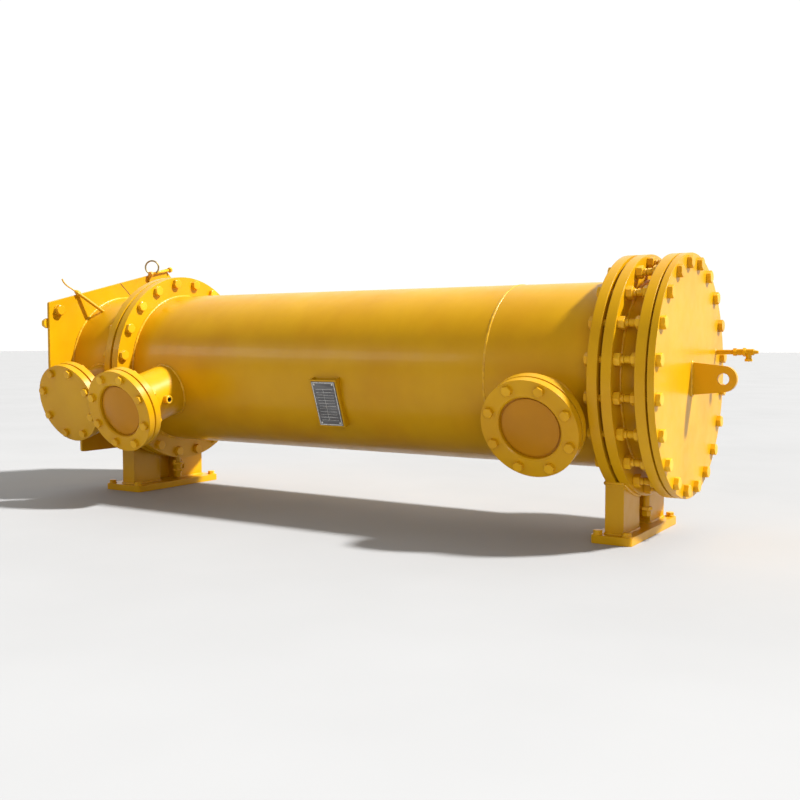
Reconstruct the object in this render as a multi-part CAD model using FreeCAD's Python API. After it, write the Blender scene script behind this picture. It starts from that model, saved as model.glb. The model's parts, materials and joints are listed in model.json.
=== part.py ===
import FreeCAD, Part
import math
import os

from FreeCAD import Vector

# Horizontal shell and tube heat exchanger on two welded supports.
#
# Frame: millimetres, +X along the shell towards the flat bolted cover, -Y the
# side that the three nozzles point to, +Z up. The origin lies on the floor,
# at the middle of the left support's base plate, straight below the shell's
# axis.

# ---------------------------------------------------------------- dimensions

# Shell and channels
SHELL_OD = 508.0
SHELL_WALL = 10.0
SHELL_LENGTH = 1694.0
SHELL_ABOVE_FLOOR = 176.0
RIGHT_CHANNEL_LENGTH = 110.0
LEFT_SUPPORT_TO_TUBESHEET = 83.5

# Girth flanges and cover: widths are measured out from the shell's outside
GIRTH_WIDTH = 68.5
GIRTH_THICKNESS = 26.0
GIRTH_BOLT_OFFSET = 46.0
GIRTH_BOLT_HOLE = 22.0
GIRTH_BOLT_COUNT = 20
GIRTH_GASKET_WIDTH = 32.0
GIRTH_GASKET_THICKNESS = 5.0
TUBESHEET_THICKNESS = 10.0
COVER_THICKNESS = 17.0

# Nozzles, all alike: widths are measured out from the pipe's outside
NOZZLE_PIPE_OD = 168.3
NOZZLE_PIPE_WALL = 7.1
NOZZLE_FLANGE_WIDTH = 48.35
NOZZLE_FLANGE_THICKNESS = 22.0
NOZZLE_BOLT_OFFSET = 28.35
NOZZLE_BOLT_HOLE = 18.0
NOZZLE_BOLT_COUNT = 8
NOZZLE_GASKET_WIDTH = 15.85
NOZZLE_GASKET_THICKNESS = 6.0
NOZZLE_PIPE_SETBACK = 5.0
BORE_CHAMFER = 4.0
BLANK_PLATE_THICKNESS = 8.0
BLANK_DOME_MARGIN = 5.65
BLANK_DOME_RISE = 7.0
BLANK_STEP = 4.0

# Where each nozzle stands: its neck clears the nearest girth flange by a gap, its
# axis crosses the shell's axis and points below the level by a clock angle, and
# it projects that far from the shell's outside
SHELL_NECK_TO_FLANGE = 54.35
CHANNEL_NECK_TO_FLANGE = 10.35
CHANNEL_NOZZLE_TO_END_PLATE = 9.0
INLET_CLOCK = 16.0
INLET_PROJECTION = 210.0
OUTLET_CLOCK = 20.0
OUTLET_PROJECTION = 122.0
CHANNEL_NOZZLE_CLOCK = 16.0
CHANNEL_NOZZLE_PROJECTION = 161.0

# Threaded socket on the inlet's neck
SOCKET_PROJECTION = 83.0
SOCKET_OD = 27.0
SOCKET_BORE = 16.0
SOCKET_LENGTH = 16.0

# End plate: margins are measured out from the shell's outside, and the shoulder
# drops below the shell's top
END_PLATE_THICKNESS = 10.0
END_PLATE_SIDE_MARGIN = 98.0
END_PLATE_PEAK_MARGIN = 116.0
END_PLATE_PEAK_Y = 204.0
END_PLATE_SHOULDER_DROP = 26.0
END_PLATE_SKIRT_DROP = 120.0
END_PLATE_FOOT_MARGIN = 46.0
END_PLATE_FOOT_HEIGHT = 45.0
END_PLATE_FOOT_HALF_WIDTH = 221.0
END_PLATE_CORNER = 8.0

# Tab and wire ring at the end plate's top edge
TAB_THICKNESS = 8.0
TAB_WIDTH = 96.0
TAB_HEIGHT = 74.0
TAB_RISE = 8.0
TAB_INSET = 1.0
RING_RADIUS = 25.0
RING_WIRE = 6.0
RING_FROM_TAB_EDGE = 18.0
RING_TURN = 32.0
RING_SINK = 5.0

# Air tube from the left channel over the end plate's edge
AIR_TUBE_OD = 12.0
AIR_TUBE_BORE = 8.0
AIR_TUBE_FROM_PLATE = 48.5
AIR_TUBE_CLOCK = -53.0
AIR_TUBE_REST_Y = -228.0
AIR_TUBE_CLEARANCE = 0.3
AIR_TUBE_OVERHANG = 12.0

# Lug on the cover
LUG_LENGTH = 82.0
LUG_ROOT_HEIGHT = 86.0
LUG_TIP_RADIUS = 34.0
LUG_HOLE = 30.0
LUG_THICKNESS = 15.0
LUG_DROP = 6.0

# Vent pipe and valve on the cover
VENT_Y = 236.0
VENT_Z = 62.0
VENT_PIPE_OD = 13.5
VENT_PIPE_BORE = 9.0
VENT_PIPE_LENGTH = 50.0
VENT_BODY_OD = 18.0
VENT_BODY_LENGTH = 54.0
VENT_BRANCH_OD = 16.0
VENT_BRANCH_AT = 40.0
VENT_BRANCH_LENGTH = 26.0
VENT_PLUG_OD = 12.0
VENT_PLUG_LENGTH = 12.0

# Nameplate on its stand-off bracket
PLATE_FROM_SHELL_START = 834.5
PLATE_CLOCK = 20.0
PLATE_WIDTH = 84.0
PLATE_HEIGHT = 140.0
PLATE_THICKNESS = 2.0
BRACKET_THICKNESS = 3.0
BRACKET_STANDOFF = 10.0
BRACKET_MARGIN = 5.0

# Supports
BASE_THICKNESS = 22.0
BASE_LENGTH = 396.0
BASE_CORNER = 10.0
LEFT_BASE_WIDTH = 166.0
RIGHT_BASE_WIDTH = 110.0
RIGHT_SUPPORT_OFFSET = -10.0
LEG_WALL = 8.0
LEG_INNER_Y = 45.0
LEG_OUTER_Y = 170.0
LEFT_LEG_WIDTH = 56.0
RIGHT_LEG_WIDTH = 50.0
ANCHOR_HOLE = 18.0
ANCHOR_FROM_END = 14.0
LEFT_ANCHOR_SPACING_X = 126.0
RIGHT_ANCHOR_SPACING_X = 78.0

# Drains under the channels' first flanges
DRAIN_PIPE_OD = 21.3
DRAIN_PIPE_BORE = 16.0
DRAIN_VALVE_ACROSS = 28.0
DRAIN_VALVE_LENGTH = 40.0
DRAIN_PLUG_ACROSS = 24.0
DRAIN_PLUG_LENGTH = 14.0
LEFT_DRAIN_DROP = 20.0
RIGHT_DRAIN_DROP = 44.0

# ------------------------------------------------------------ derived values

SHELL_R = SHELL_OD / 2
AXIS_HEIGHT = SHELL_ABOVE_FLOOR + SHELL_R
GIRTH_R = SHELL_R + GIRTH_WIDTH
GIRTH_BOLT_R = SHELL_R + GIRTH_BOLT_OFFSET
GIRTH_GASKET_R = SHELL_R + GIRTH_GASKET_WIDTH

NOZZLE_PIPE_R = NOZZLE_PIPE_OD / 2
NOZZLE_FLANGE_R = NOZZLE_PIPE_R + NOZZLE_FLANGE_WIDTH
NOZZLE_BOLT_R = NOZZLE_PIPE_R + NOZZLE_BOLT_OFFSET
NOZZLE_GASKET_R = NOZZLE_PIPE_R + NOZZLE_GASKET_WIDTH
INLET_REACH = SHELL_R + INLET_PROJECTION
OUTLET_REACH = SHELL_R + OUTLET_PROJECTION
CHANNEL_NOZZLE_REACH = SHELL_R + CHANNEL_NOZZLE_PROJECTION
SOCKET_REACH = SHELL_R + SOCKET_PROJECTION

LEFT_JOINT_X = LEFT_SUPPORT_TO_TUBESHEET
CHANNEL_NOZZLE_X = LEFT_JOINT_X - GIRTH_THICKNESS - CHANNEL_NECK_TO_FLANGE - NOZZLE_PIPE_R
END_PLATE_X = CHANNEL_NOZZLE_X - NOZZLE_FLANGE_R - CHANNEL_NOZZLE_TO_END_PLATE
SHELL_START_X = LEFT_JOINT_X + TUBESHEET_THICKNESS
SHELL_END_X = SHELL_START_X + SHELL_LENGTH
INLET_X = SHELL_START_X + GIRTH_THICKNESS + SHELL_NECK_TO_FLANGE + NOZZLE_PIPE_R
OUTLET_X = SHELL_END_X - GIRTH_THICKNESS - SHELL_NECK_TO_FLANGE - NOZZLE_PIPE_R
RIGHT_SUPPORT_X = SHELL_END_X + TUBESHEET_THICKNESS / 2 + RIGHT_SUPPORT_OFFSET
RIGHT_CHANNEL_START_X = SHELL_END_X + TUBESHEET_THICKNESS
RIGHT_CHANNEL_END_X = RIGHT_CHANNEL_START_X + RIGHT_CHANNEL_LENGTH
COVER_X = RIGHT_CHANNEL_END_X + GIRTH_GASKET_THICKNESS
COVER_FACE_X = COVER_X + COVER_THICKNESS

END_PLATE_HALF_WIDTH = SHELL_R + END_PLATE_SIDE_MARGIN
END_PLATE_PEAK_Z = SHELL_R + END_PLATE_PEAK_MARGIN
END_PLATE_SHOULDER_Z = SHELL_R - END_PLATE_SHOULDER_DROP
END_PLATE_FOOT_Z = -SHELL_R - END_PLATE_FOOT_MARGIN
END_PLATE_FOOT_TOP_Z = END_PLATE_FOOT_Z + END_PLATE_FOOT_HEIGHT
AIR_TUBE_X = END_PLATE_X + AIR_TUBE_FROM_PLATE
PLATE_X = SHELL_START_X + PLATE_FROM_SHELL_START

X_AXIS = Vector(1, 0, 0)
Z_AXIS = Vector(0, 0, 1)
DOWN = Vector(0, 0, -1)


# ------------------------------------------------------------ small builders

def cylinder_x(x_from, x_to, radius):
    """A solid cylinder on the shell's axis."""
    return Part.makeCylinder(radius, x_to - x_from, Vector(x_from, 0, AXIS_HEIGHT), X_AXIS)


def ring_x(x_from, x_to, outer_radius, inner_radius):
    """A ring or tube on the shell's axis."""
    return cylinder_x(x_from, x_to, outer_radius).cut(cylinder_x(x_from, x_to, inner_radius))


def hexagon_prism(start, direction, across_flats, length):
    """A hexagonal bar from start along direction."""
    corner_radius = across_flats / math.sqrt(3)
    corners = []
    for step in range(7):
        angle = math.radians(60 * step)
        corners.append(Vector(corner_radius * math.cos(angle), corner_radius * math.sin(angle), 0))
    bar = Part.Face(Part.makePolygon(corners)).extrude(Vector(0, 0, length))
    turn = FreeCAD.Rotation(Z_AXIS, direction)
    bar.Placement = FreeCAD.Placement(start, turn)
    return bar


def polygon_plate_x(outline, x_from, thickness):
    """A flat plate across the shell's axis from (y, z) points round the axis."""
    points = [Vector(x_from, y, AXIS_HEIGHT + z) for y, z in outline]
    wire = Part.makePolygon(points + [points[0]])
    return Part.Face(wire).extrude(Vector(thickness, 0, 0))


def radial(clock):
    """Unit vector from the shell's axis, clock degrees below the level on the -Y side."""
    angle = math.radians(clock)
    return Vector(0, -math.cos(angle), -math.sin(angle))


# ----------------------------------------------------------- shell and flanges

def bolt_holes_x(x_from, x_to):
    """The girth bolts' holes, which straddle the upright centreline."""
    holes = []
    for index in range(GIRTH_BOLT_COUNT):
        angle = 2 * math.pi * (index + 0.5) / GIRTH_BOLT_COUNT
        start = Vector(x_from, GIRTH_BOLT_R * math.sin(angle), AXIS_HEIGHT + GIRTH_BOLT_R * math.cos(angle))
        holes.append(Part.makeCylinder(GIRTH_BOLT_HOLE / 2, x_to - x_from, start, X_AXIS))
    return Part.makeCompound(holes)


def girth_flange(x_from):
    x_to = x_from + GIRTH_THICKNESS
    return ring_x(x_from, x_to, GIRTH_R, SHELL_R).cut(bolt_holes_x(x_from, x_to))


def barrel_with_nozzles(x_from, x_to, nozzles):
    """A tube on the axis with a round hole for each nozzle's bore."""
    tube = ring_x(x_from, x_to, SHELL_R, SHELL_R - SHELL_WALL)
    for nozzle_x, clock in nozzles:
        start = Vector(nozzle_x, 0, AXIS_HEIGHT)
        bore = Part.makeCylinder(NOZZLE_PIPE_R - NOZZLE_PIPE_WALL, SHELL_OD, start, radial(clock))
        tube = tube.cut(bore)
    return tube


def shell_and_channels():
    pieces = {}
    shell_nozzles = [(INLET_X, INLET_CLOCK), (OUTLET_X, OUTLET_CLOCK)]
    channel_nozzles = [(CHANNEL_NOZZLE_X, CHANNEL_NOZZLE_CLOCK)]
    pieces["shell"] = barrel_with_nozzles(SHELL_START_X, SHELL_END_X, shell_nozzles)
    pieces["left_shell_flange"] = girth_flange(SHELL_START_X)
    pieces["right_shell_flange"] = girth_flange(SHELL_END_X - GIRTH_THICKNESS)
    pieces["left_tubesheet"] = cylinder_x(LEFT_JOINT_X, SHELL_START_X, GIRTH_GASKET_R)
    pieces["right_tubesheet"] = cylinder_x(SHELL_END_X, RIGHT_CHANNEL_START_X, GIRTH_GASKET_R)
    pieces["left_channel_barrel"] = barrel_with_nozzles(END_PLATE_X, LEFT_JOINT_X, channel_nozzles)
    pieces["left_channel_flange"] = girth_flange(LEFT_JOINT_X - GIRTH_THICKNESS)
    pieces["right_channel_barrel"] = barrel_with_nozzles(RIGHT_CHANNEL_START_X, RIGHT_CHANNEL_END_X, [])
    pieces["right_channel_inner_flange"] = girth_flange(RIGHT_CHANNEL_START_X)
    pieces["right_channel_outer_flange"] = girth_flange(RIGHT_CHANNEL_END_X - GIRTH_THICKNESS)
    pieces["cover_gasket"] = ring_x(RIGHT_CHANNEL_END_X, COVER_X, GIRTH_GASKET_R, SHELL_R - SHELL_WALL)
    cover = cylinder_x(COVER_X, COVER_FACE_X, GIRTH_R)
    pieces["cover_plate"] = cover.cut(bolt_holes_x(COVER_X, COVER_FACE_X))
    return pieces


# --------------------------------------------------------------------- nozzles

def flange_blank(nozzle_x, clock, reach_from, bore_radius):
    """A bolted nozzle flange whose back face is at reach_from; bore_radius 0 leaves it blind."""
    direction = radial(clock)
    centre = Vector(nozzle_x, 0, AXIS_HEIGHT) + direction * reach_from
    across = direction.cross(X_AXIS)
    flange = Part.makeCylinder(NOZZLE_FLANGE_R, NOZZLE_FLANGE_THICKNESS, centre, direction)
    if bore_radius > 0:
        flange = flange.cut(Part.makeCylinder(bore_radius, NOZZLE_FLANGE_THICKNESS, centre, direction))
    for index in range(NOZZLE_BOLT_COUNT):
        angle = 2 * math.pi * (index + 0.5) / NOZZLE_BOLT_COUNT
        offset = X_AXIS * math.cos(angle) + across * math.sin(angle)
        at = centre + offset * NOZZLE_BOLT_R
        hole = Part.makeCylinder(NOZZLE_BOLT_HOLE / 2, NOZZLE_FLANGE_THICKNESS, at, direction)
        flange = flange.cut(hole)
    return flange


def nozzle_neck(nozzle_x, clock, reach_to):
    """A pipe set on the barrel's outside, its end shaped to the barrel."""
    direction = radial(clock)
    centre = Vector(nozzle_x, 0, AXIS_HEIGHT)
    outside = Part.makeCylinder(NOZZLE_PIPE_R, reach_to, centre, direction)
    inside = Part.makeCylinder(NOZZLE_PIPE_R - NOZZLE_PIPE_WALL, reach_to, centre, direction)
    barrel = cylinder_x(nozzle_x - NOZZLE_PIPE_OD, nozzle_x + NOZZLE_PIPE_OD, SHELL_R)
    return outside.cut(inside).cut(barrel)


def nozzle_gasket(nozzle_x, clock, reach_from):
    direction = radial(clock)
    centre = Vector(nozzle_x, 0, AXIS_HEIGHT) + direction * reach_from
    outside = Part.makeCylinder(NOZZLE_GASKET_R, NOZZLE_GASKET_THICKNESS, centre, direction)
    inside = Part.makeCylinder(NOZZLE_PIPE_R, NOZZLE_GASKET_THICKNESS, centre, direction)
    return outside.cut(inside)


def chamfered_bore_cut(nozzle_x, clock, reach_to):
    """The cone that breaks the edge of a counter flange's bore."""
    direction = radial(clock)
    start = Vector(nozzle_x, 0, AXIS_HEIGHT) + direction * (reach_to - BORE_CHAMFER)
    return Part.makeCone(NOZZLE_PIPE_R, NOZZLE_PIPE_R + BORE_CHAMFER, BORE_CHAMFER, start, direction)


def blank_disc(nozzle_x, clock, reach_from):
    """A round blanking plate with a low dome, held in the counter flange's bore."""
    direction = radial(clock)
    start = Vector(nozzle_x, 0, AXIS_HEIGHT) + direction * reach_from
    plate = Part.makeCylinder(NOZZLE_PIPE_R, BLANK_PLATE_THICKNESS, start, direction)
    edge = NOZZLE_PIPE_R - BLANK_DOME_MARGIN
    step_start = start + direction * BLANK_PLATE_THICKNESS
    step = Part.makeCylinder(edge, BLANK_STEP, step_start, direction)
    sphere_radius = (edge ** 2 + BLANK_DOME_RISE ** 2) / (2 * BLANK_DOME_RISE)
    crown = step_start + direction * (BLANK_STEP + BLANK_DOME_RISE)
    sphere = Part.makeSphere(sphere_radius, crown - direction * sphere_radius)
    dome_start = step_start + direction * BLANK_STEP
    dome = sphere.common(Part.makeCylinder(edge, BLANK_DOME_RISE, dome_start, direction))
    return plate.fuse(step).fuse(dome).removeSplitter()


def open_nozzle(name, nozzle_x, clock, reach):
    """Neck, flange, gasket, counter flange and its blanking disc."""
    pieces = {}
    counter_from = reach - NOZZLE_FLANGE_THICKNESS
    gasket_from = counter_from - NOZZLE_GASKET_THICKNESS
    flange_from = gasket_from - NOZZLE_FLANGE_THICKNESS
    pieces[name + "_neck"] = nozzle_neck(nozzle_x, clock, gasket_from - NOZZLE_PIPE_SETBACK)
    pieces[name + "_flange"] = flange_blank(nozzle_x, clock, flange_from, NOZZLE_PIPE_R)
    pieces[name + "_gasket"] = nozzle_gasket(nozzle_x, clock, gasket_from)
    counter = flange_blank(nozzle_x, clock, counter_from, NOZZLE_PIPE_R)
    pieces[name + "_counter_flange"] = counter.cut(chamfered_bore_cut(nozzle_x, clock, reach))
    pieces[name + "_blanking_disc"] = blank_disc(nozzle_x, clock, counter_from)
    return pieces


def blind_nozzle(name, nozzle_x, clock, reach):
    """Neck, flange, gasket and a solid blind flange."""
    pieces = {}
    blind_from = reach - NOZZLE_FLANGE_THICKNESS
    gasket_from = blind_from - NOZZLE_GASKET_THICKNESS
    flange_from = gasket_from - NOZZLE_FLANGE_THICKNESS
    pieces[name + "_neck"] = nozzle_neck(nozzle_x, clock, gasket_from - NOZZLE_PIPE_SETBACK)
    pieces[name + "_flange"] = flange_blank(nozzle_x, clock, flange_from, NOZZLE_PIPE_R)
    pieces[name + "_gasket"] = nozzle_gasket(nozzle_x, clock, gasket_from)
    pieces[name + "_blind_flange"] = flange_blank(nozzle_x, clock, blind_from, 0)
    return pieces


def threaded_socket():
    """A small threaded socket welded to the +X side of the inlet's neck."""
    direction = radial(INLET_CLOCK)
    centre = Vector(INLET_X, 0, AXIS_HEIGHT)
    on_axis = centre + direction * SOCKET_REACH
    length = NOZZLE_PIPE_R + SOCKET_LENGTH
    body = Part.makeCylinder(SOCKET_OD / 2, length, on_axis, X_AXIS)
    bore = Part.makeCylinder(SOCKET_BORE / 2, length, on_axis, X_AXIS)
    pipe = Part.makeCylinder(NOZZLE_PIPE_R, INLET_REACH, centre, direction)
    return body.cut(bore).cut(pipe)


# ------------------------------------------------------------------- end plate

def end_plate():
    """A flat plate with a sloping top edge and a narrower foot, across the channel's end."""
    half = END_PLATE_HALF_WIDTH
    foot = END_PLATE_FOOT_HALF_WIDTH
    skirt = -END_PLATE_SKIRT_DROP
    outline = [(-half, END_PLATE_SHOULDER_Z), (END_PLATE_PEAK_Y, END_PLATE_PEAK_Z),
               (half, END_PLATE_SHOULDER_Z), (half, skirt),
               (foot, END_PLATE_FOOT_TOP_Z), (foot, END_PLATE_FOOT_Z),
               (-foot, END_PLATE_FOOT_Z), (-foot, END_PLATE_FOOT_TOP_Z), (-half, skirt)]
    plate = polygon_plate_x(outline, END_PLATE_X - END_PLATE_THICKNESS, END_PLATE_THICKNESS)
    upright = [edge for edge in plate.Edges if abs(edge.Vertexes[0].X - edge.Vertexes[-1].X) > 1]
    return plate.makeFillet(END_PLATE_CORNER, upright)


def top_edge_slope():
    rise = END_PLATE_PEAK_Z - END_PLATE_SHOULDER_Z
    run = END_PLATE_PEAK_Y + END_PLATE_HALF_WIDTH
    return rise / run


def top_edge_height(y):
    """Height of the end plate's long top edge above the shell's axis, at y."""
    return END_PLATE_SHOULDER_Z + top_edge_slope() * (y + END_PLATE_HALF_WIDTH)


def end_plate_tab():
    """A small plate on the end plate's face, standing a little above its top edge."""
    y_to = END_PLATE_PEAK_Y - TAB_INSET
    y_from = y_to - TAB_WIDTH
    top_from = top_edge_height(y_from) + TAB_RISE
    top_to = top_edge_height(y_to) + TAB_RISE
    outline = [(y_from, top_from), (y_to, top_to),
               (y_to, top_to - TAB_HEIGHT), (y_from, top_from - TAB_HEIGHT)]
    return polygon_plate_x(outline, END_PLATE_X, TAB_THICKNESS).cut(wire_ring())


def wire_ring():
    """A wire ring that stands in the tab's top edge."""
    tab_from = END_PLATE_PEAK_Y - TAB_INSET - TAB_WIDTH
    centre_y = tab_from + RING_FROM_TAB_EDGE
    centre_z = AXIS_HEIGHT + top_edge_height(centre_y) + TAB_RISE + RING_RADIUS - RING_SINK
    centre = Vector(END_PLATE_X + TAB_THICKNESS / 2, centre_y, centre_z)
    angle = math.radians(RING_TURN)
    normal = Vector(math.sin(angle), -math.cos(angle), 0)
    return Part.makeTorus(RING_RADIUS, RING_WIRE / 2, centre, normal)


def air_tube():
    """A straight air tube from the left channel's side over the end plate's top edge."""
    foot = Vector(AIR_TUBE_X, 0, AXIS_HEIGHT) + radial(AIR_TUBE_CLOCK) * (SHELL_R - SHELL_WALL)
    edge = Vector(END_PLATE_X, AIR_TUBE_REST_Y, AXIS_HEIGHT + top_edge_height(AIR_TUBE_REST_Y))
    away = Vector(0, 1, top_edge_slope()).cross(edge - foot).normalize()
    direction = edge + away * (AIR_TUBE_OD / 2 + AIR_TUBE_CLEARANCE) - foot
    length = direction.Length + AIR_TUBE_OVERHANG
    tube = Part.makeCylinder(AIR_TUBE_OD / 2, length, foot, direction)
    tube = tube.cut(Part.makeCylinder(AIR_TUBE_BORE / 2, length, foot, direction))
    tube = tube.cut(cylinder_x(END_PLATE_X, LEFT_JOINT_X, SHELL_R))
    return tube


# ---------------------------------------------------------------- cover fittings

def cover_lug():
    """A flat lug with a round nose and a hole, standing off the cover's middle."""
    nose = Vector(COVER_FACE_X + LUG_LENGTH, 0, AXIS_HEIGHT - LUG_DROP)
    half = LUG_ROOT_HEIGHT / 2
    root_top = Vector(COVER_FACE_X, 0, AXIS_HEIGHT - LUG_DROP + half)
    root_bottom = Vector(COVER_FACE_X, 0, AXIS_HEIGHT - LUG_DROP - half)
    lean = math.asin((half - LUG_TIP_RADIUS) / math.hypot(LUG_LENGTH, half - LUG_TIP_RADIUS))
    nose_top = nose + Vector(LUG_TIP_RADIUS * math.sin(lean), 0, LUG_TIP_RADIUS * math.cos(lean))
    nose_bottom = nose + Vector(LUG_TIP_RADIUS * math.sin(lean), 0, -LUG_TIP_RADIUS * math.cos(lean))
    nose_tip = nose + Vector(LUG_TIP_RADIUS, 0, 0)
    edges = [Part.LineSegment(root_bottom, root_top).toShape(),
             Part.LineSegment(root_top, nose_top).toShape(),
             Part.Arc(nose_top, nose_tip, nose_bottom).toShape(),
             Part.LineSegment(nose_bottom, root_bottom).toShape()]
    face = Part.Face(Part.Wire(edges))
    face.translate(Vector(0, -LUG_THICKNESS / 2, 0))
    lug = face.extrude(Vector(0, LUG_THICKNESS, 0))
    hole_start = nose - Vector(0, LUG_THICKNESS, 0)
    return lug.cut(Part.makeCylinder(LUG_HOLE / 2, 2 * LUG_THICKNESS, hole_start, Vector(0, 1, 0)))


def vent_pieces():
    """A short pipe out of the cover with a small tee valve on its end."""
    start = Vector(COVER_FACE_X, VENT_Y, AXIS_HEIGHT + VENT_Z)
    pipe = Part.makeCylinder(VENT_PIPE_OD / 2, VENT_PIPE_LENGTH, start, X_AXIS)
    pipe = pipe.cut(Part.makeCylinder(VENT_PIPE_BORE / 2, VENT_PIPE_LENGTH, start, X_AXIS))
    body_start = start + X_AXIS * VENT_PIPE_LENGTH
    body = Part.makeCylinder(VENT_BODY_OD / 2, VENT_BODY_LENGTH, body_start, X_AXIS)
    branch_start = body_start + X_AXIS * VENT_BRANCH_AT
    body = body.fuse(Part.makeCylinder(VENT_BRANCH_OD / 2, VENT_BRANCH_LENGTH, branch_start, DOWN))
    plug_start = body_start + X_AXIS * VENT_BODY_LENGTH
    body = body.fuse(Part.makeCone(VENT_PLUG_OD / 2, VENT_PLUG_OD / 3, VENT_PLUG_LENGTH, plug_start, X_AXIS))
    return {"vent_pipe": pipe, "vent_valve": body}


# ------------------------------------------------------------------- nameplate

def clock_box(x_middle, clock, reach, width, height, thickness):
    """A flat box facing out along a radial line, reach measured to its back face."""
    box = Part.makeBox(width, height, thickness, Vector(-width / 2, -height / 2, 0))
    turn = FreeCAD.Rotation(X_AXIS, 90 + clock)
    centre = Vector(x_middle, 0, AXIS_HEIGHT) + radial(clock) * reach
    box.Placement = FreeCAD.Placement(centre, turn)
    return box


def nameplate_pieces():
    """A bare plate on a flat bracket with two feet that stand on the shell."""
    bracket_reach = SHELL_R + BRACKET_STANDOFF
    width = PLATE_WIDTH + 2 * BRACKET_MARGIN
    height = PLATE_HEIGHT + 2 * BRACKET_MARGIN
    bracket = clock_box(PLATE_X, PLATE_CLOCK, bracket_reach, width, height, BRACKET_THICKNESS)
    for side in (-1, 1):
        foot_x = PLATE_X + side * (width - BRACKET_THICKNESS) / 2
        depth = SHELL_R / 5
        foot_reach = bracket_reach - depth
        foot = clock_box(foot_x, PLATE_CLOCK, foot_reach, BRACKET_THICKNESS, height, depth)
        bracket = bracket.fuse(foot)
    shell_solid = cylinder_x(PLATE_X - PLATE_WIDTH, PLATE_X + PLATE_WIDTH, SHELL_R)
    bracket = bracket.cut(shell_solid).removeSplitter()
    plate_reach = bracket_reach + BRACKET_THICKNESS
    plate = clock_box(PLATE_X, PLATE_CLOCK, plate_reach, PLATE_WIDTH, PLATE_HEIGHT, PLATE_THICKNESS)
    return {"nameplate_bracket": bracket, "nameplate": plate}


# -------------------------------------------------------------------- supports

def base_plate(x_middle, width, anchor_spacing_x):
    corner = Vector(x_middle - width / 2, -BASE_LENGTH / 2, 0)
    plate = Part.makeBox(width, BASE_LENGTH, BASE_THICKNESS, corner)
    upright = [edge for edge in plate.Edges if abs(edge.Vertexes[0].Z - edge.Vertexes[-1].Z) > 1]
    plate = plate.makeFillet(BASE_CORNER, upright)
    anchor_y = BASE_LENGTH / 2 - ANCHOR_FROM_END
    for side_x in (-1, 1):
        for side_y in (-1, 1):
            at = Vector(x_middle + side_x * anchor_spacing_x / 2, side_y * anchor_y, 0)
            plate = plate.cut(Part.makeCylinder(ANCHOR_HOLE / 2, BASE_THICKNESS, at))
    return plate


def leg(x_middle, width, side, seat_radius):
    """A box column from the base plate up to a round seat; side is -1 in front, 1 behind."""
    y_from = min(side * LEG_INNER_Y, side * LEG_OUTER_Y)
    depth = LEG_OUTER_Y - LEG_INNER_Y
    low = Vector(x_middle - width / 2, y_from, BASE_THICKNESS)
    height = AXIS_HEIGHT - BASE_THICKNESS
    column = Part.makeBox(width, depth, height, low)
    inner = Part.makeBox(width - 2 * LEG_WALL, depth - 2 * LEG_WALL, height,
                         low + Vector(LEG_WALL, LEG_WALL, 0))
    column = column.cut(inner)
    return column.cut(cylinder_x(x_middle - width, x_middle + width, seat_radius))


def leg_web(x_middle, width, seat_radius):
    """The plate that joins a support's two legs, flush with their -X sides."""
    low = Vector(x_middle - width / 2, -LEG_INNER_Y, BASE_THICKNESS)
    web = Part.makeBox(LEG_WALL, 2 * LEG_INNER_Y, AXIS_HEIGHT - BASE_THICKNESS, low)
    return web.cut(cylinder_x(x_middle - width, x_middle + width, seat_radius))


def supports():
    pieces = {}
    pieces["left_base_plate"] = base_plate(0, LEFT_BASE_WIDTH, LEFT_ANCHOR_SPACING_X)
    pieces["left_front_leg"] = leg(0, LEFT_LEG_WIDTH, -1, SHELL_R)
    pieces["left_rear_leg"] = leg(0, LEFT_LEG_WIDTH, 1, SHELL_R)
    pieces["left_leg_web"] = leg_web(0, LEFT_LEG_WIDTH, SHELL_R)
    pieces["right_base_plate"] = base_plate(RIGHT_SUPPORT_X, RIGHT_BASE_WIDTH, RIGHT_ANCHOR_SPACING_X)
    pieces["right_front_leg"] = leg(RIGHT_SUPPORT_X, RIGHT_LEG_WIDTH, -1, GIRTH_R)
    pieces["right_rear_leg"] = leg(RIGHT_SUPPORT_X, RIGHT_LEG_WIDTH, 1, GIRTH_R)
    pieces["right_leg_web"] = leg_web(RIGHT_SUPPORT_X, RIGHT_LEG_WIDTH, GIRTH_R)
    return pieces


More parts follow.
